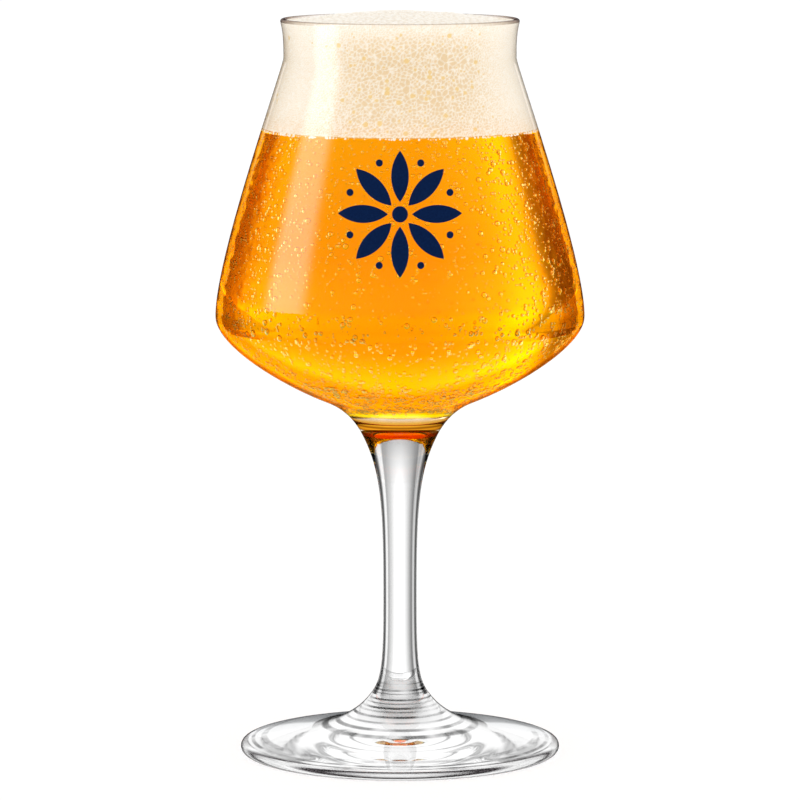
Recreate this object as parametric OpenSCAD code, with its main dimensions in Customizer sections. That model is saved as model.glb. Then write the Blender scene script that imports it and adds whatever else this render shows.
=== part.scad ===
// Stemmed tasting glass for beer, poured to the brim. Millimetres, foot on z = 0, printed front towards -y.
// Every glass outline is a chain of curves between stations: [radius, height, heading].
// A heading is the way the outline runs on its way down: 0 is straight down, positive leans outwards.

/* [Bowl] */
// Height of the rim above the table
rim_z = 190; // [184:0.5:200]
// Outer diameter of the rim
rim_d = 61.2; // [58:0.2:66]
// Outer diameter of the waist under the flared lip
waist_d = 59.6; // [56:0.2:62]
// Height of the flared lip, rim to waist
lip_h = 10; // [6:0.5:14]
// Outer diameter of the shoulder, the widest place
shoulder_d = 95; // [88:0.5:104]
// Height of the shoulder above the table
shoulder_z = 113.7; // [110:0.1:120]
// Wall thickness at the rim
lip_t = 1.3; // [1:0.05:1.8]
// Wall thickness at the shoulder
wall_t = 1.5; // [1.1:0.05:2.2]
// Wall thickness where the bowl turns into its base
base_t = 2.4; // [1.8:0.1:3.2]
// Height of the lowest place of the inside above the table
floor_z = 89.5; // [88:0.1:91]

/* [Stem] */
// Diameter of the stem at its narrowest
stem_d = 8.6; // [7:0.1:11]
// Height of the narrowest place
stem_z = 40.5; // [34:0.5:46]
// Diameter of the fused seam under the bowl
bowl_seam_d = 19.5; // [17:0.1:21]
// Height of the fused seam under the bowl
bowl_seam_z = 82.8; // [80:0.1:84]
// Diameter of the fused seam over the foot
foot_seam_d = 14.6; // [13:0.1:17]
// Height of the fused seam over the foot
foot_seam_z = 15.2; // [14:0.1:18]

/* [Foot] */
// Diameter of the foot
foot_d = 82.8; // [76:0.2:92]
// Thickness of the rounded edge of the foot
foot_edge_t = 2.6; // [2:0.1:3.4]
// Inner diameter of the ring that the foot stands on
rest_ring_d = 71; // [60:0.5:74]
// Height of the hollow under the middle of the foot
hollow_h = 2.2; // [1:0.1:3.4]

/* [Drink] */
// Height of the line between beer and foam above the table
beer_z = 161.5; // [130:0.5:176]
// Height of the foam's dome over the rim
foam_rise = 2.4; // [1:0.1:5]

/* [Print] */
// Height of the middle of the printed motif above the table
print_z = 143.5; // [140:0.5:152]
// Length of one petal
petal_l = 12.5; // [9:0.1:14]
// Width of one petal
petal_w = 4.4; // [3:0.1:5]
// Number of petals
petals = 8; // [6:1:9]
// Thickness of the fired print
print_t = 0.1; // [0.08:0.01:0.16]

/* [Hidden] */
$fn = 96;
steps = 20;
bead_steps = 8;

// How the outline runs at the rim, in the neck under the bowl, at both seams and at the foot's edge
rim_heading = -14;
neck_heading = -68;
bowl_seam_heading = -27;
foot_seam_heading = 35;
foot_edge_heading = 75;
// Share of a curve's length that it keeps close to its station's heading
soft = 0.36;
crisp = 0.03;
shoulder_pull = [0.22, 0.2];
stem_top_pull = [0.25, 0.55];
stem_bottom_pull = [0.66, 0.18];
// Place of the neck between the bowl seam and the shoulder, as shares of the way out and up
neck_out = 0.257;
neck_up = 0.288;

bowl_seam_r = bowl_seam_d / 2;
shoulder_r = shoulder_d / 2;
lip_r = lip_t / 2;
edge_r = foot_edge_t / 2;
lip_middle = [rim_d / 2 - lip_r, rim_z - lip_r];
edge_middle = [foot_d / 2 - edge_r, edge_r];

rim = station(lip_middle + lip_r * [cos(rim_heading), sin(rim_heading)], rim_heading);
waist = [waist_d / 2, rim_z - lip_h, 0];
shoulder = [shoulder_r, shoulder_z, 0];
neck = [
    bowl_seam_r + neck_out * (shoulder_r - bowl_seam_r),
    bowl_seam_z + neck_up * (shoulder_z - bowl_seam_z),
    neck_heading
];
bowl_seam = [bowl_seam_r, bowl_seam_z, bowl_seam_heading];
stem_waist = [stem_d / 2, stem_z, 0];
foot_seam = [foot_seam_d / 2, foot_seam_z, foot_seam_heading];
foot_edge = station(edge_middle + edge_r * [cos(foot_edge_heading), sin(foot_edge_heading)], foot_edge_heading);

lip_span = span(rim, waist, soft, soft);
side_span = span(waist, shoulder, crisp, shoulder_pull[0]);
lower_span = span(shoulder, neck, shoulder_pull[1], soft);
neck_span = span(neck, bowl_seam, soft, soft);
stem_top_span = span(bowl_seam, stem_waist, stem_top_pull[0], stem_top_pull[1]);
stem_bottom_span = span(stem_waist, foot_seam, stem_bottom_pull[0], stem_bottom_pull[1]);
foot_span = span(foot_seam, foot_edge, soft, soft);
base = station(point(lower_span, 1) + base_t * inward(lower_span, 1), neck_heading);
floor_span = span(base, [0, floor_z, -90], soft, soft);

// The inside of the bowl, from the lip down to its lowest place
inner_wall = concat(
    wall(lip_span, lip_t, lip_t, 0),
    wall(side_span, lip_t, wall_t, 1),
    wall(lower_span, wall_t, base_t, 1),
    curve(floor_span, 1)
);

function station(place, heading) = [place[0], place[1], heading];
function along(heading) = [sin(heading), -cos(heading)];

// A curve from one station to the next, as the four points that steer it
function span(from, to, pull_from, pull_to) =
    let (
        start = [from[0], from[1]],
        end = [to[0], to[1]],
        run = norm(end - start)
    )
    [start, start + run * pull_from * along(from[2]), end - run * pull_to * along(to[2]), end];

function point(s, t) =
    pow(1 - t, 3) * s[0] + 3 * t * pow(1 - t, 2) * s[1] + 3 * t * t * (1 - t) * s[2] + pow(t, 3) * s[3];

// Unit vector square to the curve, towards the drink
function inward(s, t) =
    let (way = pow(1 - t, 2) * (s[1] - s[0]) + 2 * t * (1 - t) * (s[2] - s[1]) + t * t * (s[3] - s[2]))
    [way[1], -way[0]] / norm(way);

function curve(s, first) = [for (i = [first:steps]) point(s, i / steps)];

// A curve moved towards the drink by a thickness that changes along it
function wall(s, t_from, t_to, first) =
    [for (i = [first:steps]) point(s, i / steps) + inward(s, i / steps) * (t_from + (t_to - t_from) * i / steps)];

function reversed(points) = [for (i = [len(points) - 1:-1:0]) points[i]];

function arc(middle, radius, from, to) =
    [for (i = [1:bead_steps - 1]) middle + radius * [cos(from + (to - from) * i / bead_steps),
                                                    sin(from + (to - from) * i / bead_steps)]];

// Bowl: outside from the seam up, over the bead of the lip, down the inside
module bowl() {
    outside = concat(curve(lip_span, 0), curve(side_span, 1), curve(lower_span, 1), curve(neck_span, 1));
    color([0.86, 0.91, 0.93, 0.35])
        rotate_extrude()
            polygon(concat(
                [[0, bowl_seam_z]],
                reversed(outside),
                arc(lip_middle, lip_r, rim_heading, rim_heading + 180),
                inner_wall
            ));
}

// Stem: one outline from seam to seam, thinnest at its waist
module stem() {
    outside = concat(curve(stem_top_span, 0), curve(stem_bottom_span, 1));
    color([0.84, 0.89, 0.91, 0.35])
        rotate_extrude()
            polygon(concat([[0, bowl_seam_z]], outside, [[0, foot_seam_z]]));
}

// Foot: flare, rounded edge, standing ring and a hollow inside it
module foot() {
    ring_r = rest_ring_d / 2;
    hollow = [for (i = [0:bead_steps]) [ring_r * (1 - i / bead_steps), hollow_h * (1 - pow(1 - i / bead_steps, 2))]];
    color([0.82, 0.88, 0.9, 0.35])
        rotate_extrude()
            polygon(concat(
                [[0, foot_seam_z]],
                curve(foot_span, 0),
                arc(edge_middle, edge_r, foot_edge_heading, -90),
                [[edge_middle[0], 0]],
                hollow
            ));
}

// Everything inside the glass: the bowl's room and the dome of foam over the rim
module filling() {
    brim = inner_wall[0];
    top_z = rim_z + foam_rise;
    dome = [for (i = [0:bead_steps - 1])
        [brim[0] * i / bead_steps, top_z - (top_z - brim[1]) * pow(i / bead_steps, 2)]];
    rotate_extrude() polygon(concat(dome, inner_wall));
}

module below_beer_line() {
    cylinder(h = beer_z, d = shoulder_d);
}

module beer() {
    color([0.93, 0.56, 0.08, 0.8]) intersection() {
        filling();
        below_beer_line();
    }
}

module foam_head() {
    color([0.98, 0.94, 0.85]) difference() {
        filling();
        below_beer_line();
    }
}

// A petal is where two equal circles overlap: its length and width give their radius
module petal() {
    radius = (petal_l * petal_l / petal_w + petal_w) / 4;
    intersection() {
        translate([radius - petal_w / 2, 0]) circle(r = radius);
        translate([petal_w / 2 - radius, 0]) circle(r = radius);
    }
}

// Flat drawing of the motif: petals round an eye, a dot between each two
module rosette() {
    eye_r = petal_w * 0.45;
    gap = eye_r * 1.5;
    circle(r = eye_r);
    for (i = [0:petals - 1]) rotate(i * 360 / petals) {
        translate([0, gap + petal_l / 2]) petal();
        rotate(180 / petals) translate([0, gap + petal_l * 0.84]) circle(r = petal_w * 0.2);
    }
}

// The drawing is pressed onto the front of the bowl's side and kept as a thin skin
module printed_motif() {
    skin = concat(curve(side_span, 0), reversed(wall(side_span, -print_t, -print_t, 0)));
    color([0.02, 0.11, 0.27]) intersection() {
        rotate_extrude() polygon(skin);
        translate([0, 0, print_z]) rotate([90, 0, 0]) linear_extrude(height = shoulder_d) rosette();
    }
}

bowl();
stem();
foot();
printed_motif();
beer();
foam_head();
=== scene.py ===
# %% [markdown]
# # A poured tasting glass
# The real object is a blown glass bowl on a drawn stem and a pressed foot, filled with amber beer under a
# head of foam. The solids are fixed and come first: every piece below is turned, scattered or painted
# around them, in metres.

# %% Load the solids
import math
from itertools import product

import bmesh
import bpy
import numpy as np
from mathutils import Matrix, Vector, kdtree, noise


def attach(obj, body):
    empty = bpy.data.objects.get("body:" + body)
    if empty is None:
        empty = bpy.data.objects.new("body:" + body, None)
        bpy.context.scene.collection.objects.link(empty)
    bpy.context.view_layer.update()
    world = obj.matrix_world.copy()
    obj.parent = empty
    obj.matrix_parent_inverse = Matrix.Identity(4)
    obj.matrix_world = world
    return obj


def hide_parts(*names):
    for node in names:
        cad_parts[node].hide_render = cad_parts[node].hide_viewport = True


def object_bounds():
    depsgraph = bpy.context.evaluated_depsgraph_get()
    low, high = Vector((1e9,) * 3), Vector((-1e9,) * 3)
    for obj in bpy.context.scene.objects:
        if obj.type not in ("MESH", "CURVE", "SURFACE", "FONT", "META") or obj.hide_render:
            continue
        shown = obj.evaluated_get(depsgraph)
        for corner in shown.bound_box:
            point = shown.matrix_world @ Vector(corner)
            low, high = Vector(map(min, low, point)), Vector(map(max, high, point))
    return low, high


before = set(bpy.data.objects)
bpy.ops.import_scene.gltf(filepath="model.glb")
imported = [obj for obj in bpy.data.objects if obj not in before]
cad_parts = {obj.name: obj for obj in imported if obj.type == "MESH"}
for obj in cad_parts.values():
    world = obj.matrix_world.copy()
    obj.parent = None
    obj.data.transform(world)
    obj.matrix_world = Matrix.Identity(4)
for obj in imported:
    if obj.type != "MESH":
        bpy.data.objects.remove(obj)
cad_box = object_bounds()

MM = 0.001
print("solids:", sorted(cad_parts))
print("box (mm):", [[round(v / MM, 2) for v in corner] for corner in cad_box])

# %% [markdown]
# ## Reading an outline back from a solid
# All the large solids are turned, so half a section says everything about them. Typing its points again
# would let the looks drift away from the solids. Here the rings of vertices are found in the mesh and put
# in order by walking from neighbour to neighbour.

# %% Rings of a solid
# Vertices nearer than this are on one ring
SNAP = 0.02 * MM


def find_rings(mesh):
    """The rings of a turned mesh as (radius, height), and the number of the ring that each vertex is on."""
    ring_of = {}
    rings = []
    on_ring = []
    for vertex in mesh.vertices:
        r, z = math.hypot(vertex.co.x, vertex.co.y), vertex.co.z
        cell = (round(r / SNAP), round(z / SNAP))
        around = [(cell[0] + i, cell[1] + j) for i, j in product((0, -1, 1), repeat=2)]
        known = next((ring_of[c] for c in around if c in ring_of), None)
        if known is None:
            known = len(rings)
            rings.append((r, z))
        ring_of[cell] = known
        on_ring.append(known)
    return rings, on_ring


def section(node):
    """Half outline of a turned solid: its rings in order, from one end to the other."""
    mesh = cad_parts[node].data
    rings, on_ring = find_rings(mesh)
    beside = [set() for _ in rings]
    for face in mesh.polygons:
        for a, b in face.edge_keys:
            if on_ring[a] != on_ring[b]:
                beside[on_ring[a]].add(on_ring[b])
                beside[on_ring[b]].add(on_ring[a])
    walk = [min(i for i in range(len(rings)) if len(beside[i]) == 1)]
    while ahead := [i for i in sorted(beside[walk[-1]]) if i not in walk]:
        walk.append(ahead[0])
    return np.array([rings[i] for i in walk])


def to_axis(outline):
    """The outline with a point on the axis at each end that lacks one."""
    first, last = outline[0], outline[-1]
    head = [] if first[0] < SNAP else [(0, first[1])]
    tail = [] if last[0] < SNAP else [(0, last[1])]
    return np.array(head + [tuple(p) for p in outline] + tail)


def upward(outline):
    """The outline in the order that runs up the outside."""
    r, z = outline.T
    area = np.sum(r * np.roll(z, -1) - np.roll(r, -1) * z)
    return outline if area > 0 else outline[::-1]


# A solid's rings have corners, so its box is a hair narrower one way than the other.
# No outline passes the narrower one.
half_width = min(abs(v) for corner in cad_box for v in corner[:2])
outlines = {}
for node in ("bowl", "stem", "foot", "beer", "foam_head"):
    outline = upward(to_axis(section(node)))
    outline[:, 0] = np.minimum(outline[:, 0], half_width)
    outlines[node] = outline
    print(node, "outline:", len(outline), "points, widest", round(2 * outline[:, 0].max() / MM, 2), "mm")

# %% [markdown]
# ## Turning an outline
# Glass shows every flat in its reflections, so the outline is first drawn finer, with a smooth curve
# through its points. Blender's Screw modifier or bmesh's spin would turn it, but here each band of faces
# also needs its own finish: where two glass pieces are fused, or where beer wets the wall, there is no
# surface to see. So the rings are laid one by one.

# %% Turning helpers
SHARP_TURN = math.radians(24)
CREASE = math.radians(35)
TURN = 288
FINE = 0.95 * MM


def finer(outline, step):
    """A smooth curve through the same points. Corners sharper than SHARP_TURN stay corners."""
    ways = np.diff(outline, axis=0)
    runs = np.linalg.norm(ways, axis=1)
    ways = ways / runs[:, None]
    points = []
    for i, run in enumerate(runs):
        leave = arrive = ways[i]
        if i > 0 and np.dot(ways[i - 1], ways[i]) > math.cos(SHARP_TURN):
            leave = (ways[i - 1] + ways[i]) / np.linalg.norm(ways[i - 1] + ways[i])
        if i + 1 < len(ways) and np.dot(ways[i], ways[i + 1]) > math.cos(SHARP_TURN):
            arrive = (ways[i] + ways[i + 1]) / np.linalg.norm(ways[i] + ways[i + 1])
        t = np.linspace(0, 1, max(1, math.ceil(run / step)), endpoint=False)[:, None]
        points.append(
            (2 * t**3 - 3 * t**2 + 1) * outline[i]
            + (t**3 - 2 * t**2 + t) * run * leave
            + (3 * t**2 - 2 * t**3) * outline[i + 1]
            + (t**3 - t**2) * run * arrive
        )
    curve = np.vstack(points + [outline[-1:]])
    return np.clip(curve, outline.min(axis=0), outline.max(axis=0))


def link(name, mesh):
    piece = bpy.data.objects.new(name, mesh)
    bpy.context.scene.collection.objects.link(piece)
    return piece


def lathe(outline, turn):
    """Vertices and faces of a turned outline that starts and ends on the axis, band after band."""
    angles = np.arange(turn) * 2 * math.pi / turn
    spots = []
    starts = []
    for r, z in outline:
        starts.append(len(spots))
        spots += [(0, 0, z)] if r < SNAP else [(r * math.cos(a), r * math.sin(a), z) for a in angles]
    faces = []
    for i, (low, high) in enumerate(zip(starts, starts[1:])):
        for k in range(turn):
            n = (k + 1) % turn
            if outline[i][0] < SNAP:
                faces.append((low, high + n, high + k))
            elif outline[i + 1][0] < SNAP:
                faces.append((low + k, low + n, high))
            else:
                faces.append((low + k, low + n, high + n, high + k))
    return spots, faces


def turned(name, outline, finishes=(), finish_of=None, turn=TURN):
    """A turned piece. finish_of gives a band's finish from its middle radius and height and its number."""
    spots, faces = lathe(outline, turn)
    mesh = bpy.data.meshes.new(name)
    mesh.from_pydata(spots, [], faces)
    for finish in finishes:
        mesh.materials.append(finish)
    if finish_of:
        middles = (outline[:-1] + outline[1:]) / 2
        bands = [finishes.index(finish_of(r, z, i)) for i, (r, z) in enumerate(middles)]
        mesh.polygons.foreach_set("material_index", [band for band in bands for _ in range(turn)])
    mesh.shade_smooth()
    mesh.set_sharp_from_angle(angle=CREASE)
    mesh.update()
    print(name, "turned:", len(mesh.vertices), "vertices")
    return link(name, mesh)


# %% [markdown]
# ## Adding shader nodes
# Every material below is a small net of nodes. One function adds a node with its settings, its fixed values
# and its links, and one turns the hex colours that designers use (sRGB) into the linear values that shaders
# add up.

# %% Node and colour helpers
def add(tree, kind, settings=None, values=None, links=None):
    """One node: settings are its attributes, values its fixed sockets, links what feeds its sockets."""
    node = tree.nodes.new(kind)
    for key, value in (settings or {}).items():
        setattr(node, key, value)
    for key, value in (values or {}).items():
        node.inputs[key].default_value = value
    for key, source in (links or {}).items():
        tree.links.new(source, node.inputs[key])
    return node


def linear(hex_colour):
    """sRGB hex, such as #021B44, to linear red, green, blue and alpha, by the standard's own formula."""
    parts = [int(hex_colour[i : i + 2], 16) / 255 for i in (1, 3, 5)]
    return [p / 12.92 if p <= 0.04045 else ((p + 0.055) / 1.055) ** 2.4 for p in parts] + [1.0]


def ramp(tree, source, stops):
    """A colour ramp: stops are (place, hex colour or grey level)."""
    node = add(tree, "ShaderNodeValToRGB", links={"Fac": source})
    bands = node.color_ramp.elements
    while len(bands) < len(stops):
        bands.new(0.5)
    for band, (place, colour) in zip(bands, stops):
        band.position = place
        band.color = linear(colour) if isinstance(colour, str) else (colour, colour, colour, 1)
    return node.outputs["Color"]


def new_material(name):
    material = bpy.data.materials.new(name)
    material.use_nodes = True
    material.node_tree.nodes.clear()
    return material, material.node_tree


def output(tree, surface, volume=None):
    add(tree, "ShaderNodeOutputMaterial", links={"Surface": surface} | ({"Volume": volume} if volume else {}))


WHITE = linear("#FFFFFF")
print("mid grey #808080 is", round(linear("#808080")[0], 3), "in linear light")

# %% [markdown]
# ## Clear glass
# Lead-free crystal glass, polished by flame after blowing, drawing and pressing: index 1.52 and no
# roughness. A plain Glass shader bends and mirrors as it should. What it lacks is the rim of tone that
# makes a real wall readable: near the outline the eye looks a long way through the wall, and sees dim light
# from far aside, amber where there is beer behind. A real studio has many panels and flags for that. Here
# each place of the glass has a short list of edge colours instead, painted shade and painted light of such
# panels and flags, which follow Layer Weight's Facing from 0, face-on, to 1, at the outline. The glass is
# round, so they hold from every side. Blowing leaves shallow waves some millimetres long, which keep the
# highlights alive.

# %% Glass with an edge
GLASS_IOR = 1.52
# Length and depth of the waves
WAVE = 9 * MM
WAVE_DEPTH = 0.012 * MM
# Facing value past which glass mirrors all the light that comes from inside it
TRAPPED = 1 - math.sqrt(1 - 1 / GLASS_IOR**2)
# How far an uneven wall moves its edge colours
UNEVEN = 0.12
# How much of a painted ring shows, by the level of a cloud pattern that breaks it up
PATCHY = [(0.36, 0.15), (0.6, 1.0)]


def banded(tree, place, colour, bands, patch):
    """The colour times a shade by height: bands are (height, shade). A patch size breaks them up."""
    low = bands[0][0]
    high = bands[-1][0]
    up = add(tree, "ShaderNodeSeparateXYZ", links={"Vector": place}).outputs["Z"]
    share = add(tree, "ShaderNodeMapRange", {}, {"From Min": low, "From Max": high}, {"Value": up})
    dim = ramp(tree, share.outputs["Result"], [((z - low) / (high - low), shade) for z, shade in bands])
    mixed = add(tree, "ShaderNodeMix", {"data_type": "RGBA", "blend_type": "MULTIPLY"}, {"Factor": 1.0},
                {"A": colour, "B": dim})
    if patch:
        cloud = add(tree, "ShaderNodeTexNoise", {}, {"Scale": 1 / patch, "Detail": 1.0}, {"Vector": place})
        tree.links.new(ramp(tree, cloud.outputs["Fac"], PATCHY), mixed.inputs["Factor"])
    return mixed.outputs["Result"]


def leaking(tree, surface, facing, leaving):
    """The surface, but light that it would trap inside the wall goes straight out."""
    slanted = add(tree, "ShaderNodeMath", {"operation": "GREATER_THAN"}, {1: TRAPPED}, {0: facing})
    trapped = add(tree, "ShaderNodeMath", {"operation": "MULTIPLY"}, {},
                  {0: slanted.outputs["Value"], 1: leaving})
    straight_out = add(tree, "ShaderNodeBsdfTransparent")
    mixed = add(tree, "ShaderNodeMixShader", {}, {},
                {0: trapped.outputs["Value"], 1: surface, 2: straight_out.outputs["BSDF"]})
    return mixed.outputs["Shader"]


def glass_finish(name, edge_colours, shader="ShaderNodeBsdfGlass", waves=True, leaks=False, bands=None,
                 patch=None, uneven=None):
    """Clear glass whose colour, painted shade and painted light, changes from face-on to its outline where
    light comes in towards the eye.
    bands and patch are as for banded(), and uneven is the size of lumps that move the edge colours."""
    material, tree = new_material(name)
    facing = add(tree, "ShaderNodeLayerWeight").outputs["Facing"]
    leaving = add(tree, "ShaderNodeNewGeometry").outputs["Backfacing"]
    place = add(tree, "ShaderNodeTexCoord").outputs["Object"]
    shade = facing
    if uneven:
        lumps = add(tree, "ShaderNodeTexNoise", {}, {"Scale": 1 / uneven, "Detail": 0.0}, {"Vector": place})
        shade = add(tree, "ShaderNodeMath", {"operation": "MULTIPLY_ADD"}, {1: UNEVEN},
                    {0: lumps.outputs["Fac"], 2: facing}).outputs["Value"]
    colour = ramp(tree, shade, edge_colours)
    if bands:
        colour = banded(tree, place, colour, bands, patch)
    painted_edge = add(tree, "ShaderNodeMix", {"data_type": "RGBA"}, {"B": WHITE}, {"Factor": leaving, "A": colour})
    glass = add(tree, shader, {}, {"Roughness": 0.0, "IOR": GLASS_IOR}, {"Color": painted_edge.outputs["Result"]})
    if waves:
        wave = add(tree, "ShaderNodeTexNoise", {}, {"Scale": 1 / WAVE, "Detail": 1.0}, {"Vector": place})
        bump = add(tree, "ShaderNodeBump", {}, {"Distance": WAVE_DEPTH}, {"Height": wave.outputs["Fac"]})
        tree.links.new(bump.outputs["Normal"], glass.inputs["Normal"])
    surface = glass.outputs["BSDF"]
    output(tree, leaking(tree, surface, facing, leaving) if leaks else surface)
    return material


print("glass traps light past", round(math.degrees(math.asin(1 / GLASS_IOR)), 1), "degrees")

# %% [markdown]
# ## Finishes of the bowl
# A blown bowl is one wall, but it looks different all the way down: grey at the lip's bead, clear in front
# of the foam, brown to gold at the edges where there is beer behind, and striped in the thick base, which
# mirrors the beer. Walls with beer behind them let trapped light leak out, and the shoulder and the lower
# bowl only bend light, because nothing bright is mirrored there on the real glass. The whole inner wall is
# joined glass, which does nothing: where beer wets it, the beer's own surface does the bending.

# %% Bowl finishes
# Painted shade and painted light: edge colours from face-on to the outline, for each place of the bowl
CLEAR_EDGE = [(0.7, "#FFFFFF"), (0.9, "#F0EEEE"), (1.0, "#A09C9E")]
LIP_EDGE = [(0.2, "#FFFFFF"), (0.45, "#DED6D0"), (0.7, "#A89C96"), (0.9, "#6A5E5E"), (1.0, "#403A40")]
SIDE_EDGE = [
    (0.44, "#FFFFFF"), (0.54, "#F4D8BC"), (0.62, "#C8966A"), (0.7, "#BA864E"), (0.77, "#AC7844"),
    (0.8, "#FFE1B4"), (0.9, "#FFE1B4"), (0.95, "#A87860"), (1.0, "#7C6068"),
]
LOWER_EDGE = [
    (0.58, "#FFFFFF"), (0.65, "#D6C8A4"), (0.76, "#D6C8A4"), (0.8, "#F0D8B0"), (0.83, "#E0B890"),
    (0.88, "#A87850"), (0.93, "#B89078"), (1.0, "#584450"),
]
# Painted shade: dimmer light round the shoulder, in millimetres over it
SHOULDER_SHADE = [(-3, 1.0), (-1.2, 0.62), (0.6, 0.56), (7, 1.0)]
# Painted reflection: stripes of beer that the thick base mirrors, in millimetres over the seam
NECK_STRIPES = [
    (-0.1, "#E08A10"), (0.9, "#E89818"), (1.2, "#FFF4E0"), (1.5, "#FFF4E0"), (1.8, "#B06808"),
    (2.5, "#E8981C"), (3.0, "#8C4C04"), (3.6, "#E8A024"), (4.6, "#F0B850"), (6.7, "#FFFFFF"),
]
LUMP_IN_WALL = 2 * MM
ONLY_BENDS = "ShaderNodeBsdfRefraction"

seams = (outlines["stem"][:, 1].min(), outlines["stem"][:, 1].max())
shoulder_height = outlines["bowl"][np.argmax(outlines["bowl"][:, 0]), 1]
shoulder_shade = [(shoulder_height + rise * MM, grey) for rise, grey in SHOULDER_SHADE]
stripes = [(seams[1] + rise * MM, colour) for rise, colour in NECK_STRIPES]
crystal_glass = glass_finish("crystal_glass", CLEAR_EDGE)
lip_glass = glass_finish("lip_glass", LIP_EDGE)
wet_wall = {"leaks": True, "uneven": LUMP_IN_WALL, "bands": shoulder_shade}
side_glass = glass_finish("side_glass", SIDE_EDGE, **wet_wall)
shoulder_glass = glass_finish("shoulder_glass", SIDE_EDGE, ONLY_BENDS, **wet_wall)
lower_glass = glass_finish("lower_glass", LOWER_EDGE, ONLY_BENDS, leaks=True)
neck_glass = glass_finish("neck_glass", CLEAR_EDGE, bands=stripes)
joined_glass, tree = new_material("joined_glass")
output(tree, add(tree, "ShaderNodeBsdfTransparent").outputs["BSDF"])
print("shoulder at", round(shoulder_height / MM, 1), "mm, seams at", [round(z / MM, 1) for z in seams], "mm")

# %% [markdown]
# ## Finishes of the stem and the foot
# A drawn stem is a solid rod: it works as a lens, with dark bands along both sides. The flare under it and
# the foot's rolled edge fold the whole room into narrow rings. The mesh bends light too, but its rings are
# broader than the real ones, so fine dark rings are painted at set heights, and a cloud pattern breaks them
# up so that they look mirrored.

# %% Stem and foot finishes
# Painted shade and painted light: edge colours from face-on to the outline, for the stem and the foot
PRESSED_EDGE = [(0.8, "#FFFFFF"), (1.0, "#C4C8CC")]
ROLL_EDGE = [
    (0.0, "#FFFFFF"), (0.12, "#4A4648"), (0.2, "#4A4648"), (0.3, "#FFFFFF"), (0.5, "#FFFFFF"),
    (0.6, "#5C585A"), (0.72, "#FFFFFF"), (0.88, "#8C8888"), (1.0, "#3C383C"),
]
FLARE_EDGE = [
    (0.03, 1.0), (0.1, 0.78), (0.17, 0.62), (0.25, 0.55), (0.33, 0.85), (0.45, 1.0), (0.78, 1.0), (0.88, 0.3),
    (1.0, 0.05),
]
STEM_EDGE = [
    (0.03, 1.0), (0.06, 0.92), (0.1, 0.76), (0.17, 0.54), (0.236, 0.38), (0.29, 0.34), (0.33, 0.8),
    (0.42, 0.84), (0.48, 0.3), (0.54, 0.1), (0.62, 0.07), (0.73, 0.3), (0.85, 0.7), (1.0, 0.6),
]
PATCH = 7 * MM


def dark_rings(lines):
    """Dark rings for banded(): lines are (height, half width, grey), the sizes in millimetres."""
    return [((height + step * half) * MM, shade) for height, half, grey in lines
            for step, shade in ((-2, 1.0), (-1, grey), (1, grey), (2, 1.0))]


RIM_RINGS = dark_rings([(2.75, 0.05, 0.3), (3.1, 0.07, 0.35), (3.7, 0.1, 0.6)])
FLARE_RINGS = dark_rings([
    (6.9, 0.18, 0.25), (8.1, 0.16, 0.35), (9.4, 0.12, 0.5), (10.6, 0.15, 0.2), (11.7, 0.12, 0.4),
    (12.5, 0.14, 0.15), (13.5, 0.1, 0.4), (14.4, 0.14, 0.2),
])
STEM_RINGS = dark_rings([(15.8, 0.1, 0.4), (16.6, 0.16, 0.12), (18.2, 0.1, 0.5)])

drawn_glass = glass_finish("drawn_glass", STEM_EDGE, bands=STEM_RINGS, patch=PATCH)
pressed_glass = glass_finish("pressed_glass", PRESSED_EDGE, waves=False, bands=RIM_RINGS, patch=PATCH)
rolled_glass = glass_finish("rolled_glass", ROLL_EDGE, waves=False)
flared_glass = glass_finish("flared_glass", FLARE_EDGE, waves=False, bands=FLARE_RINGS, patch=PATCH)
print("finishes:", [m.name for m in bpy.data.materials])

# %% [markdown]
# ## Bowl, stem and foot
# The three are fused, so there is nothing to see at the flat seams at the stem's ends: they get joined
# glass as well. One function for each piece says which finish a band of faces has, from where the band is.

# %% Glass pieces
# Ends of the shoulder's own finish, below and above the widest place
SHOULDER = (-3 * MM, 4.4 * MM)
# Height of the lip's bead, width of the foot's rolled edge, and the height where the flare starts
LIP_BEAD = 0.7 * MM
ROLL = 1.3 * MM
FLARE = 6 * MM

rim_height = outlines["bowl"][:, 1].max()
foot_reach = outlines["foot"][:, 0].max()
beer_foot, beer_line = outlines["beer"][:, 1].min(), outlines["beer"][:, 1].max()
bowl_outline = finer(outlines["bowl"], FINE)
lip_place = int(np.argmax(bowl_outline[:, 1]))


def unless_fused(finish, z):
    """The finish, or joined glass where two pieces meet."""
    return joined_glass if min(abs(z - seam) for seam in seams) < SNAP else finish


def stem_finish(r, z, i):
    return unless_fused(drawn_glass, z)


def foot_finish(r, z, i):
    if r > foot_reach - ROLL:
        return rolled_glass
    return unless_fused(flared_glass if z > FLARE else pressed_glass, z)


def bowl_finish(r, z, i):
    if z > rim_height - LIP_BEAD:
        return lip_glass
    if i >= lip_place:
        return joined_glass
    if z > beer_line:
        return crystal_glass
    if z > shoulder_height + SHOULDER[1]:
        return side_glass
    if z > shoulder_height + SHOULDER[0]:
        return shoulder_glass
    return lower_glass if z > beer_foot else unless_fused(neck_glass, z)


bowl_finishes = [crystal_glass, joined_glass, side_glass, lower_glass, lip_glass, neck_glass, shoulder_glass]
foot_finishes = [pressed_glass, joined_glass, rolled_glass, flared_glass]
turned("bowl_glass", bowl_outline, bowl_finishes, bowl_finish)
turned("stem_glass", finer(outlines["stem"], FINE), [drawn_glass, joined_glass], stem_finish)
turned("foot_glass", finer(outlines["foot"], FINE), foot_finishes, foot_finish)
for node in ("bowl", "stem", "foot"):
    piece = bpy.data.objects[node + "_glass"]
    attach(piece, "root")
    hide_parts(node)

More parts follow.
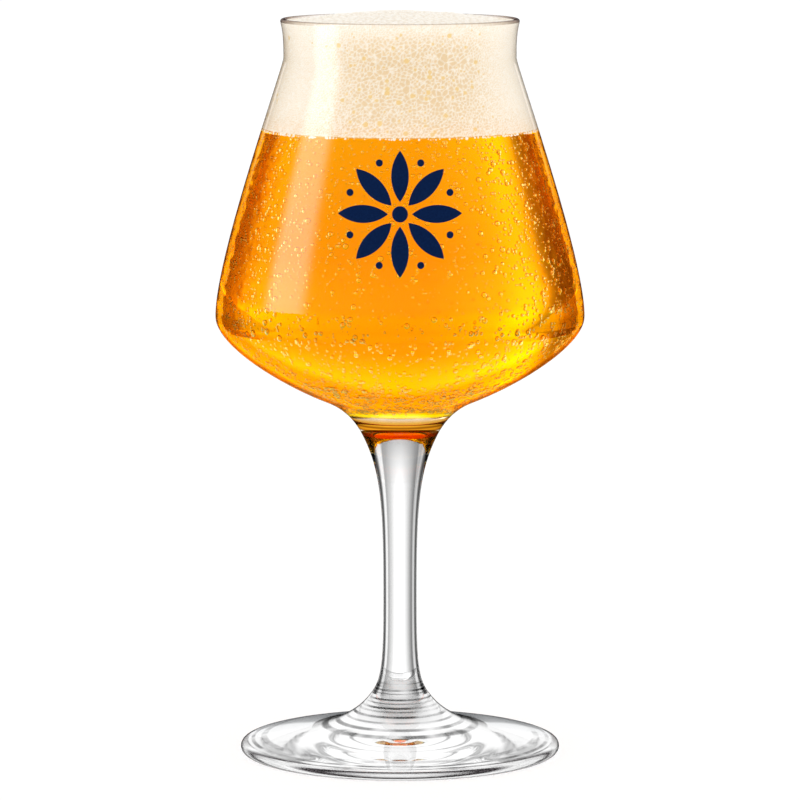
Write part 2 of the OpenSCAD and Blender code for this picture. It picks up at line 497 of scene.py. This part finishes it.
# %% [markdown]
# ## Beer
# A clear amber lager: water with malt sugars, index 1.34. Its colour is all inside, so it is a volume that
# swallows blue at once, green over some centimetres and almost no red. That makes the thin bottom yellow
# and the wide middle orange. Against glass it bends light by the ratio of the two indices. It stops a hair
# short of the wall, so the two never mix.

# %% Beer
BEER_IOR = 1.34
HAIR = 0.02 * MM
# How fast red, green and blue fade on their way through, per metre
FADING = (1.05, 15.6, 300.0)

clear_beer, tree = new_material("clear_amber_beer")
surface = add(tree, "ShaderNodeBsdfGlass", {},
              {"Color": WHITE, "Roughness": 0.0, "IOR": BEER_IOR / GLASS_IOR})
amber = [1 - rate / max(FADING) for rate in FADING] + [1.0]
volume = add(tree, "ShaderNodeVolumeAbsorption", {}, {"Color": amber, "Density": max(FADING)})
output(tree, surface.outputs["BSDF"], volume.outputs["Volume"])


def shrunk(outline, by):
    """The outline moved inwards, square to itself. Points on the axis stay on it."""
    way = np.gradient(outline, axis=0)
    way /= np.linalg.norm(way, axis=1)[:, None]
    moved = outline - by * np.column_stack([way[:, 1], -way[:, 0]])
    moved[outline[:, 0] < SNAP, 0] = 0
    return moved


beer_outline = shrunk(finer(outlines["beer"], FINE), HAIR)
beer = turned("beer_body", beer_outline, [clear_beer])
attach(beer, "root")
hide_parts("beer")
print("half of the green light is left after", round(math.log(2) / FADING[1] / MM), "mm of beer")

# %% [markdown]
# ## Bubbles
# Carbon dioxide comes out of the beer in small round bubbles. Most cling to the wall, many near the bottom,
# and some rise freely. A particle system would scatter them, but drawing their places from a seeded
# generator says exactly where they may be: more at the sides than in front of the middle, and none on the
# far wall, because the round beer is a lens that would stretch those into dashes. Each is a hole of air in
# beer, so its index is below one.

# %% Where bubbles sit
BUBBLE_SEED = 11
# Bubbles on the whole wall, near its foot and near the foam: how many, and their usual radius
WALL_BUBBLES = (16000, 0.31 * MM)
FLOOR_BUBBLES = (4000, 0.36 * MM)
FLOOR_BAND = 8 * MM
LINE_BUBBLES = (400, 0.22 * MM)
LINE_BAND = 4 * MM
# Bare places of the wall: just under the foam, and over the neck
UNDER_FOAM = 0.5 * MM
NECK_ROOM = 11 * MM
# Share of the bubbles that the middle of the front keeps, and how many radii behind the axis they end
FRONT_SHARE = 0.42
BEHIND = 0.3
# How much the sizes vary, as a power of e, and the least and most of it
VARIES = 0.4
VARIES_ENDS = (-1, 0.9)
# Bubbles on their way up: their room over the wall's foot, under the foam and from the wall, and their radius
FREE_BUBBLES = 300
OVER_FLOOR = 4 * MM
UNDER_LINE = 1 * MM
FREE_REACH = 0.93
FREE_RADIUS = (0.1 * MM, 0.28 * MM)

wall = beer_outline[beer_outline[:, 1] < beer_line - UNDER_FOAM]
wall = wall[wall[:, 0] > NECK_ROOM]
floor_height = wall[:, 1].min()


def fade(x, zero, one):
    """0 at zero and past it, 1 at one and past it, and a soft step between them."""
    share = np.clip((x - zero) / (one - zero), 0, 1)
    return share * share * (3 - 2 * share)


def on_wall(draw, count, typical, low=-math.inf, high=math.inf):
    """Bubbles that touch the wall between two heights: rows of x, y, z and radius."""
    share = wall[:, 0] * ((wall[:, 1] > low) & (wall[:, 1] < high))
    at = draw.choice(len(wall), size=count, p=share / share.sum())
    turn = draw.uniform(0, 2 * math.pi, count)
    size = typical * np.exp(np.clip(draw.normal(0, VARIES, count), *VARIES_ENDS))
    way = np.gradient(wall, axis=0)[at]
    way /= np.linalg.norm(way, axis=1)[:, None]
    r, z = (wall[at] - np.column_stack([way[:, 1], -way[:, 0]]) * (size + HAIR)[:, None]).T
    near = FRONT_SHARE + (1 - FRONT_SHARE) * np.cos(turn) ** 2
    kept = draw.uniform(0, 1, count) < near * fade(np.sin(turn), BEHIND, 0)
    return np.column_stack([r * np.cos(turn), r * np.sin(turn), z, size])[kept]


def rising(draw, count):
    """Bubbles on their way up, anywhere inside the beer and clear of its wall, as rows like those above."""
    height = draw.uniform(floor_height + OVER_FLOOR, beer_line - UNDER_LINE, count)
    order = np.argsort(wall[:, 1])
    room = np.interp(height, wall[order, 1], wall[order, 0])
    away = room * FREE_REACH * np.sqrt(draw.uniform(0, 1, count))
    turn = draw.uniform(0, 2 * math.pi, count)
    size = draw.uniform(*FREE_RADIUS, count)
    return np.column_stack([away * np.cos(turn), away * np.sin(turn), height, size])


draw_bubble = np.random.default_rng(BUBBLE_SEED)
bubbles = np.vstack([
    on_wall(draw_bubble, *WALL_BUBBLES),
    on_wall(draw_bubble, *FLOOR_BUBBLES, high=floor_height + FLOOR_BAND),
    on_wall(draw_bubble, *LINE_BUBBLES, low=beer_line - LINE_BAND),
    rising(draw_bubble, FREE_BUBBLES),
])
print("bubbles:", len(bubbles), "from", round(2 * bubbles[:, 3].min() / MM, 2), "to",
      round(2 * bubbles[:, 3].max() / MM, 2), "mm across")

# %% [markdown]
# Thousands of objects would slow Blender down, so copies of one ball are joined in a mesh. Small ones need
# fewer faces. What is seen in a bubble is amber beer all round, so its glass has a golden tint, a painted
# reflection of that beer.

# %% Bubbles
# Painted reflection: the amber of the beer round a bubble
AMBER_REFLECTION = "#FFFACB"
SMALL = 0.28 * MM
# How often a ball's faces are divided
PLAIN_BALL = 1
ROUND_BALL = 2


def balls(name, places, detail, finish):
    """One mesh of balls from rows of x, y, z and radius."""
    build = bmesh.new()
    bmesh.ops.create_icosphere(build, subdivisions=detail, radius=1.0)
    ball_spots = np.array([v.co for v in build.verts])
    ball_faces = np.array([[v.index for v in face.verts] for face in build.faces])
    build.free()
    spots = (ball_spots[None] * places[:, None, 3:] + places[:, None, :3]).reshape(-1, 3)
    faces = (ball_faces[None] + (np.arange(len(places)) * len(ball_spots))[:, None, None]).reshape(-1, 3)
    mesh = bpy.data.meshes.new(name)
    mesh.from_pydata(spots.tolist(), [], faces.tolist())
    mesh.materials.append(finish)
    mesh.shade_smooth()
    piece = link(name, mesh)
    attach(piece, "root")
    print(name, "joined:", len(places), "balls")


air_in_beer, tree = new_material("air_in_beer")
ball = add(tree, "ShaderNodeBsdfGlass", {}, {"Color": linear(AMBER_REFLECTION), "Roughness": 0.0, "IOR": 1 / BEER_IOR})
output(tree, ball.outputs["BSDF"])
balls("small_bubbles", bubbles[bubbles[:, 3] < SMALL], PLAIN_BALL, air_in_beer)
balls("large_bubbles", bubbles[bubbles[:, 3] >= SMALL], ROUND_BALL, air_in_beer)

# %% [markdown]
# ## Foam
# The head is a close pack of beer films. Against the glass its cells show as a pale net with honey-coloured
# middles, most under a millimetre, a few of two. In places the cells have joined and grown coarse. A bump
# map would stay flat at the outline, so the cells are real dents: seeds are scattered over the surface,
# each point finds its two nearest seeds, and where these are equally near runs a film. First comes where
# the foam is, and where it is coarse.

# %% Foam outline and coarse patches
FOAM_STEP = 0.26 * MM
# The foam's room to the wall and to the beer
FOAM_GAP = 0.06 * MM
LINE_GAP = 0.1 * MM
# Where the cells have grown coarse: turn of the patch's middle and its half width, in degrees
COARSE_PATCHES = [(-85, 44), (40, 35), (155, 40)]
# Where a patch ends and where it is full: in half widths to its sides,
# and in shares of the way from the beer to the rim at its foot and top
PATCH_SIDES = (1.4, 0.4)
PATCH_FOOT = (-0.25, 0.35)
PATCH_TOP = (1.05, 0.75)

foam_outline = shrunk(finer(outlines["foam_head"], FOAM_STEP), FOAM_GAP)
# The hidden underside needs no rings between its middle and the wall
foam_outline = foam_outline[(foam_outline[:, 1] > beer_line + LINE_GAP) | (foam_outline[:, 0] < SNAP)]
run = np.concatenate([[0], np.cumsum(np.linalg.norm(np.diff(foam_outline, axis=0), axis=1))])


def coarse(spots):
    """1 in the middle of a coarse patch, 0 in fine foam."""
    turn = np.degrees(np.arctan2(spots[:, 1], spots[:, 0]))
    patch = np.zeros(len(spots))
    for middle, half in COARSE_PATCHES:
        away = np.abs((turn - middle + 180) % 360 - 180)
        patch = np.maximum(patch, fade(away / half, *PATCH_SIDES))
    up = (spots[:, 2] - beer_line) / (rim_height - beer_line)
    return patch * fade(up, *PATCH_FOOT) * fade(up, *PATCH_TOP)


print("foam outline:", len(foam_outline), "points,", round(run[-1] / MM, 1), "mm long")

# %% [markdown]
# Coarse foam comes from fine foam: there, some of the seeds are taken away. A few cells have grown to round
# ones. The top dries and breaks up in lumps, which are a scatter of their own with wider gaps.

# %% Foam seeds
FOAM_SEED = 5
FINE_CELL = 0.6 * MM
COARSE_CELL = 1.05 * MM
BIG_CELLS = 420
BIG_RADIUS = (0.35 * MM, 0.85 * MM)
LUMP = 1.8 * MM
# How far a seed strays from its place, in gaps
STRAY = 0.45

draw_foam = np.random.default_rng(FOAM_SEED)


def scatter(gap):
    """Seeds all over the foam, about a gap apart."""
    seeds = []
    for s in np.arange(0, run[-1], gap):
        count = max(1, round(2 * math.pi * np.interp(s, run, foam_outline[:, 0]) / gap))
        turn = (np.arange(count) + draw_foam.uniform(-STRAY, STRAY, count)) * 2 * math.pi / count
        here = s + draw_foam.uniform(-STRAY, STRAY, count) * gap
        r = np.interp(here, run, foam_outline[:, 0])
        z = np.interp(here, run, foam_outline[:, 1])
        seeds.append(np.column_stack([r * np.cos(turn), r * np.sin(turn), z]))
    return np.vstack(seeds)


def finder(spots):
    """A search tree over points."""
    search = kdtree.KDTree(len(spots))
    for i, spot in enumerate(spots):
        search.insert(spot, i)
    search.balance()
    return search


seeds = scatter(FINE_CELL)
left_over = 1 - coarse(seeds) * (1 - (FINE_CELL / COARSE_CELL) ** 2)
seeds = seeds[draw_foam.uniform(0, 1, len(seeds)) < left_over]
share = coarse(seeds) ** 2
big = seeds[draw_foam.choice(len(seeds), BIG_CELLS, replace=False, p=share / share.sum())]
big_share = draw_foam.uniform(0, 1, BIG_CELLS) ** 2
big_radius = BIG_RADIUS[0] + (BIG_RADIUS[1] - BIG_RADIUS[0]) * big_share
find_small = finder(seeds)
find_big = finder(big)
find_lump = finder(scatter(LUMP))
print("foam:", len(seeds), "small cells and", BIG_CELLS, "big ones")

# %% [markdown]
# Now each point of a dense turned mesh learns how far it is from the next film. Films stay up, the middles
# sink in. The same numbers are kept on the mesh as attributes, so that the finish can colour films, middles
# and crevices; the crevices get painted shade.

# %% Foam cells
FOAM_TURN = 720
FILM = 0.16 * MM
# Depth of a dent in the palest cell, and what the full honey tone adds
DENT = 0.03 * MM
HONEY_DENT = 0.15 * MM
# Honey tone of small cells: everywhere, more in coarse foam, and more in the wet foam near the beer.
# Big cells have their own.
HONEY = 0.16
COARSE_HONEY = 0.3
WET_HONEY = 0.2
WET = 8 * MM
BIG_HONEY = 0.7
# The top is where the surface looks up by more than this; it has crevices between lumps, and swells
TOP = 0.7
CREVICE = 0.45 * MM
CREVICE_DEPTH = 0.3 * MM
SWELL = 6 * MM
SWELL_DEPTH = 0.8 * MM


def to_film(find, spot):
    """Distance from a point to the film between its two nearest seeds."""
    (_, _, near), (_, _, next_near) = find.find_n(spot, 2)
    return (next_near - near) / 2


foam = turned("foam_body", foam_outline, turn=FOAM_TURN)
mesh = foam.data
spots = np.array([v.co for v in mesh.vertices])
normals = np.array([v.normal for v in mesh.vertices])
honey = HONEY + COARSE_HONEY * coarse(spots) + WET_HONEY * fade(spots[:, 2] - beer_line, WET, 0)
film = np.zeros(len(spots))
for i, spot in enumerate(spots):
    _, nearest, away = find_big.find(spot)
    inside = big_radius[nearest] - away
    if inside > 0:
        film[i] = inside
        honey[i] = BIG_HONEY + (1 - BIG_HONEY) * big_share[nearest]
    else:
        film[i] = min(to_film(find_small, spot), -inside)
dent = fade(film, 0, FILM)
on_top = np.flatnonzero(normals[:, 2] > TOP)
crevice = np.zeros(len(spots))
crevice[on_top] = [fade(to_film(find_lump, spots[i]), CREVICE, 0) for i in on_top]

depth = dent * (DENT + HONEY_DENT * honey) + crevice * CREVICE_DEPTH
depth[on_top] += [SWELL_DEPTH * (1 + noise.noise(spots[i] / SWELL)) / 2 for i in on_top]
spots -= normals * depth[:, None]
mesh.vertices.foreach_set("co", spots.ravel())
for name, values in (("film", 1 - dent), ("honey", honey), ("crevice", crevice)):
    mesh.attributes.new(name, "FLOAT", "POINT").data.foreach_set("value", values)
mesh.update()
print("dents up to", round(depth.max() / MM, 2), "mm deep")

# %% [markdown]
# Beer foam is white because its films scatter light; the beer that hangs in the cells gives the honey tone.
# It is wet, so it is half glossy, with the index of beer. The lowest films break into a row of round beads
# along the line of the beer, which have the same finish.

# %% Foam finish and beads
FILM_WHITE = "#FDFAF4"
# Painted shade: darker cream in the crevices between lumps of the top
CREVICE_SHADE = "#EFE4D3"
HONEY_TONES = [(0.0, "#FCF7EE"), (0.5, "#EAD4AE"), (0.7, "#F0D8A2"), (1.0, "#F2D89C")]
FOAM_ROUGHNESS = 0.45
LINE_BEADS = 500
BEAD_RADIUS = 0.2 * MM
BEAD_BAND = 1.2 * MM
BEAD_DROP = 0.12 * MM

beer_foam, tree = new_material("beer_foam")
kept = {name: add(tree, "ShaderNodeAttribute", {"attribute_name": name}).outputs["Fac"]
        for name in ("film", "honey", "crevice")}
cells = ramp(tree, kept["honey"], HONEY_TONES)
net = add(tree, "ShaderNodeMix", {"data_type": "RGBA"}, {"B": linear(FILM_WHITE)},
          {"Factor": kept["film"], "A": cells})
colour = add(tree, "ShaderNodeMix", {"data_type": "RGBA"}, {"B": linear(CREVICE_SHADE)},
             {"Factor": kept["crevice"], "A": net.outputs["Result"]})
wet_foam = add(tree, "ShaderNodeBsdfPrincipled", {}, {"Roughness": FOAM_ROUGHNESS, "IOR": BEER_IOR},
               {"Base Color": colour.outputs["Result"]})
output(tree, wet_foam.outputs["BSDF"])
foam.data.materials.append(beer_foam)
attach(foam, "root")
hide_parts("foam_head")

beads = on_wall(draw_foam, LINE_BEADS, BEAD_RADIUS, low=beer_line - BEAD_BAND)
beads[:, 2] = beer_line - np.abs(draw_foam.normal(0, BEAD_DROP, len(beads)))
balls("foam_beads", beads, ROUND_BALL, beer_foam)

# %% [markdown]
# ## Printed motif
# Ceramic ink, screen-printed and fired onto the glass: an opaque navy, nearly matt, with the fine grain of
# the screen. The solid already has its shape, so only its finish is made here.

# %% Enamel
GRAIN = 0.5 * MM
NAVY = [(0.3, "#011840"), (0.7, "#042049")]
NEARLY_MATT = {"Roughness": 0.55, "IOR": 1.5, "Specular IOR Level": 0.05}

fired_enamel, tree = new_material("fired_navy_enamel")
place = add(tree, "ShaderNodeTexCoord").outputs["Object"]
grain = add(tree, "ShaderNodeTexNoise", {}, {"Scale": 1 / GRAIN, "Detail": 2.0}, {"Vector": place})
enamel = add(tree, "ShaderNodeBsdfPrincipled", {}, NEARLY_MATT,
             {"Base Color": ramp(tree, grain.outputs["Fac"], NAVY)})
output(tree, enamel.outputs["BSDF"])
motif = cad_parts["printed_motif"]
motif.data.materials.clear()
motif.data.materials.append(fired_enamel)
print("enamel on", len(motif.data.polygons), "faces")

# %% [markdown]
# ## Studio
# Glass is lit by what stands around it. A photographer puts up soft panels and dark flags; here the world
# plays their part, because it can answer each ray by the way that the ray has come: white to the camera, an
# even level to matt surfaces, panels to rays that the outside mirrors, and rings of levels to rays that
# came through. Every direction has a turn, from behind the glass, and a height, which two small formulas
# take from its vector.

# %% Directions
scene = bpy.context.scene
scene.view_settings.view_transform = "Standard"
studio = bpy.data.worlds.new("studio")
scene.world = studio
studio.use_nodes = True
tree = studio.node_tree
tree.nodes.clear()
direction = add(tree, "ShaderNodeTexCoord").outputs["Generated"]
split = add(tree, "ShaderNodeSeparateXYZ", links={"Vector": direction}).outputs
turn = add(tree, "ShaderNodeMath", {"operation": "ARCTAN2"}, {},
           {0: split["X"], 1: split["Y"]}).outputs["Value"]
height = add(tree, "ShaderNodeMath", {"operation": "ARCSINE"}, {}, {0: split["Z"]}).outputs["Value"]
path = add(tree, "ShaderNodeLightPath").outputs


def window(angle, span, soft):
    """1 where the angle is inside the span, 0 outside, with soft ends; all in degrees."""
    sides = []
    for end, (before, after) in zip(span, ((0, 1), (1, 0))):
        limits = {"From Min": math.radians(end - soft / 2), "From Max": math.radians(end + soft / 2)}
        side = add(tree, "ShaderNodeMapRange", {"interpolation_type": "SMOOTHSTEP"},
                   limits | {"To Min": before, "To Max": after}, {"Value": angle})
        sides.append(side.outputs["Result"])
    return add(tree, "ShaderNodeMath", {"operation": "MULTIPLY"}, {}, dict(enumerate(sides))).outputs["Value"]


def levels(angle, reach, stops):
    """Levels by an angle that runs from -reach to reach: stops are (angle, level), all in degrees."""
    ends = {"From Min": -math.radians(reach), "From Max": math.radians(reach)}
    share = add(tree, "ShaderNodeMapRange", {}, ends, {"Value": angle}).outputs["Result"]
    return ramp(tree, share, [((degrees + reach) / (2 * reach), level) for degrees, level in stops])


print("studio's directions:", len(tree.nodes), "nodes")

# %% [markdown]
# The bright stripe on the left of the bowl is a tall soft panel beside the camera, mirrored by the glass.
# Two panels in the same place give it a soft foot. The others stand behind the glass and light the top of
# the foot and the rim.

# %% What the outside mirrors
SURROUND = 0.02
# Turn and height of each panel and their soft ends, in degrees, and its level
PANELS = [
    {"turn": (-116, -88), "height": (-38, 60), "soft": (16, 14), "level": 1.4},
    {"turn": (-116, -88), "height": (-30, 60), "soft": (10, 30), "level": 2.1},
    {"turn": (-28, 28), "height": (3, 70), "soft": (6, 3), "level": 0.9},
    {"turn": (-70, 70), "height": (18, 70), "soft": (6, 5), "level": 0.5},
]

mirrored = add(tree, "ShaderNodeValue").outputs["Value"]
mirrored.default_value = SURROUND
for panel in PANELS:
    across = window(turn, panel["turn"], panel["soft"][0])
    up = window(height, panel["height"], panel["soft"][1])
    lit = add(tree, "ShaderNodeMath", {"operation": "MULTIPLY"}, {}, {0: across, 1: up}).outputs["Value"]
    mirrored = add(tree, "ShaderNodeMath", {"operation": "MULTIPLY_ADD"}, {1: panel["level"]},
                   {0: lit, 2: mirrored}).outputs["Value"]
print("panels:", len(PANELS))

# %% [markdown]
# A ray that crosses the beer passes four surfaces or more, one that leaks out of its wall three, and one
# that crosses clear glass two. So the count of passes tells what a ray has been through, and each kind gets
# levels of its own. The beer is a lens that swaps the sides: the dark band near its right edge is what
# stands behind to the left.

# %% What is seen straight through
STRAIGHT = [
    (-180, 1.1), (-100, 1.1), (-80, 2.0), (-60, 2.4), (-52, 0.65), (-44, 0.55), (-38, 0.4), (-34, 0.57),
    (-30, 1.35), (-26, 1.95), (-22, 2.0), (-17, 1.5), (-10, 1.25), (-4, 1.1), (12, 1.1), (20, 1.2), (34, 1.2),
    (42, 1.35), (54, 1.4), (60, 2.4), (80, 2.0), (100, 1.1), (180, 1.1),
]
# The same by height: brighter above the horizon
LIFT = [(-90, 1.0), (-18, 1.0), (-9, 1.22), (4, 1.22), (14, 2.05), (90, 2.05)]
CLEAR_STRAIGHT = [
    (-180, 1.25), (-52, 1.25), (-44, 0.95), (-35, 0.6), (-26, 0.9), (-19, 1.05), (-13, 1.1), (-8, 1.15),
    (-2, 1.25), (180, 1.25),
]
LEAKED = 1.8
LEAK_PASSES = 3.0
# Counts are whole numbers, so half a count tells them apart
HALF = 0.5

passes = path["Transmission Depth"]
leaked = add(tree, "ShaderNodeMath", {"operation": "COMPARE"}, {1: LEAK_PASSES, 2: HALF}, {0: passes})
in_beer = add(tree, "ShaderNodeMath", {"operation": "GREATER_THAN"}, {1: LEAK_PASSES - HALF},
              {0: passes}).outputs["Value"]
amber_view = add(tree, "ShaderNodeMath", {"operation": "MULTIPLY"}, {},
                 {0: levels(turn, 180, STRAIGHT), 1: levels(height, 90, LIFT)})
beer_view = add(tree, "ShaderNodeMix", {}, {"B": LEAKED},
                {"Factor": leaked.outputs["Value"], "A": amber_view.outputs["Value"]})
straight = add(tree, "ShaderNodeMix", {}, {},
               {"Factor": in_beer, "A": levels(turn, 180, CLEAR_STRAIGHT), "B": beer_view.outputs["Result"]})
print("levels by turn:", len(STRAIGHT), "through beer,", len(CLEAR_STRAIGHT), "through clear glass")

# %% [markdown]
# Inside the stem, the foot and the beer some light bounces before it leaves. These rays draw the dark bands
# of the foot and the glow at the edges of the beer, so they have rings of their own, the same on both
# sides, and other levels far below and far above.

# %% What is seen after a bounce
def both_sides(stops):
    """A ring from its right half."""
    return [(-angle, level) for angle, level in reversed(stops)] + stops


CLEAR_BOUNCE = both_sides([(47, 1.0), (53, 0.1), (57, 0.5), (62, 0.15), (68, 0.75), (76, 1.0), (180, 1.0)])
BEER_BOUNCE = both_sides([(52, 0.12), (66, 2.0), (120, 2.0), (180, 1.0)])
# Heights that count as below or above, in degrees, and their levels
CLEAR_BELOW = {"span": (-91, -48), "level": 0.8}
BEER_BELOW = {"span": (-91, -25), "level": 1.2}
BEER_ABOVE = {"span": (40, 91), "level": 0.1}
SOFT_END = 10


def bounces(ring, parts):
    """The levels of a ring, with other levels in parts that lie below or above it."""
    level = levels(turn, 180, ring)
    for part in parts:
        level = add(tree, "ShaderNodeMix", {}, {"B": part["level"]},
                    {"Factor": window(height, part["span"], SOFT_END), "A": level}).outputs["Result"]
    return level


clear_bounce = bounces(CLEAR_BOUNCE, [CLEAR_BELOW])
beer_bounce = bounces(BEER_BOUNCE, [BEER_BELOW, BEER_ABOVE])
bounce = add(tree, "ShaderNodeMix", {}, {}, {"Factor": in_beer, "A": clear_bounce, "B": beer_bounce})
bounced = add(tree, "ShaderNodeMath", {"operation": "GREATER_THAN"}, {1: HALF}, {0: path["Glossy Depth"]})
through = add(
    tree, "ShaderNodeMix", {}, {},
    {"Factor": bounced.outputs["Value"], "A": straight.outputs["Result"], "B": bounce.outputs["Result"]},
)
print("levels after a bounce:", len(CLEAR_BOUNCE), "in clear glass,", len(BEER_BOUNCE), "in beer")

# %% [markdown]
# The last step chooses by the kind of ray. Matt surfaces get an even level at which colours render as they
# are written. Foam is matt too, but its light comes through glass, which takes some away, so rays from
# inside get a little more.

# %% The studio's answer
EVEN = 1.06
INSIDE = 1.35

level = add(tree, "ShaderNodeMix", {}, {"A": EVEN}, {"Factor": path["Is Glossy Ray"], "B": mirrored})
level = add(
    tree, "ShaderNodeMix", {}, {},
    {"Factor": path["Is Transmission Ray"], "A": level.outputs["Result"], "B": through.outputs["Result"]},
)
from_matt = add(tree, "ShaderNodeMath", {"operation": "GREATER_THAN"}, {1: HALF}, {0: path["Diffuse Depth"]})
even = add(tree, "ShaderNodeMix", {}, {"A": EVEN, "B": INSIDE}, {"Factor": path["Is Transmission Ray"]})
level = add(tree, "ShaderNodeMix", {}, {},
            {"Factor": from_matt.outputs["Value"], "A": level.outputs["Result"], "B": even.outputs["Result"]})
level = add(tree, "ShaderNodeMix", {}, {"B": 1.0},
            {"Factor": path["Is Camera Ray"], "A": level.outputs["Result"]})
background = add(tree, "ShaderNodeBackground", {}, {"Color": WHITE}, {"Strength": level.outputs["Result"]})
add(tree, "ShaderNodeOutputWorld", links={"Surface": background.outputs["Background"]})
print("studio:", len(tree.nodes), "nodes")

# %% [markdown]
# ## Floor
# A plain pale floor. A matt grey that glows a little renders white where nothing shades it, and keeps the
# soft shadow under the foot. Glass shows the studio instead of the floor, which would make it flat and
# grey.

# %% Floor
FLOOR_HALF = 6.0
FLOOR_GAP = 0.05 * MM
FLOOR_GREY = "#A0A0A0"
FLOOR_GLOW = 0.67

pale_floor, tree = new_material("pale_floor")
matt = add(tree, "ShaderNodeBsdfDiffuse", {}, {"Color": linear(FLOOR_GREY)})
glow = add(tree, "ShaderNodeEmission", {}, {"Strength": FLOOR_GLOW})
both = add(tree, "ShaderNodeAddShader", links={0: matt.outputs["BSDF"], 1: glow.outputs["Emission"]})
output(tree, both.outputs["Shader"])
mesh = bpy.data.meshes.new("floor")
corners = [(x * FLOOR_HALF, y * FLOOR_HALF, 0) for x, y in ((-1, -1), (1, -1), (1, 1), (-1, 1))]
mesh.from_pydata(corners, [], [(0, 1, 2, 3)])
mesh.materials.append(pale_floor)
floor = link("floor", mesh)
floor.location.z = -FLOOR_GAP
floor.visible_transmission = False
floor.visible_glossy = False
print("floor:", 2 * FLOOR_HALF, "m wide")

# %% [markdown]
# ## Camera
# A long lens a good metre away, a little above the rim: the rim is then almost a line and the foot a flat
# ellipse. Light crosses glass, beer, bubbles and glass again, so rays may bounce often before they are
# given up.

# %% Camera and ray lengths
LENS = 218.7
SENSOR = 36.0
CAMERA_PLACE = (0, -1.244, 0.2521)
LOOKS_DOWN = 7.347
VIEW_END = 50.0
BOUNCES = 64

lens = bpy.data.cameras.new("camera")
lens.lens = LENS
lens.sensor_width = SENSOR
lens.clip_end = VIEW_END
camera = link("camera", lens)
camera.location = CAMERA_PLACE
camera.rotation_euler = (math.radians(90 - LOOKS_DOWN), 0, 0)
scene.camera = camera
scene.cycles.max_bounces = BOUNCES
scene.cycles.transmission_bounces = BOUNCES
scene.cycles.transparent_max_bounces = BOUNCES
scene.cycles.glossy_bounces = BOUNCES
scene.cycles.blur_glossy = 0.0
print("camera sees", round(math.degrees(2 * math.atan(SENSOR / 2 / LENS)), 2), "degrees")
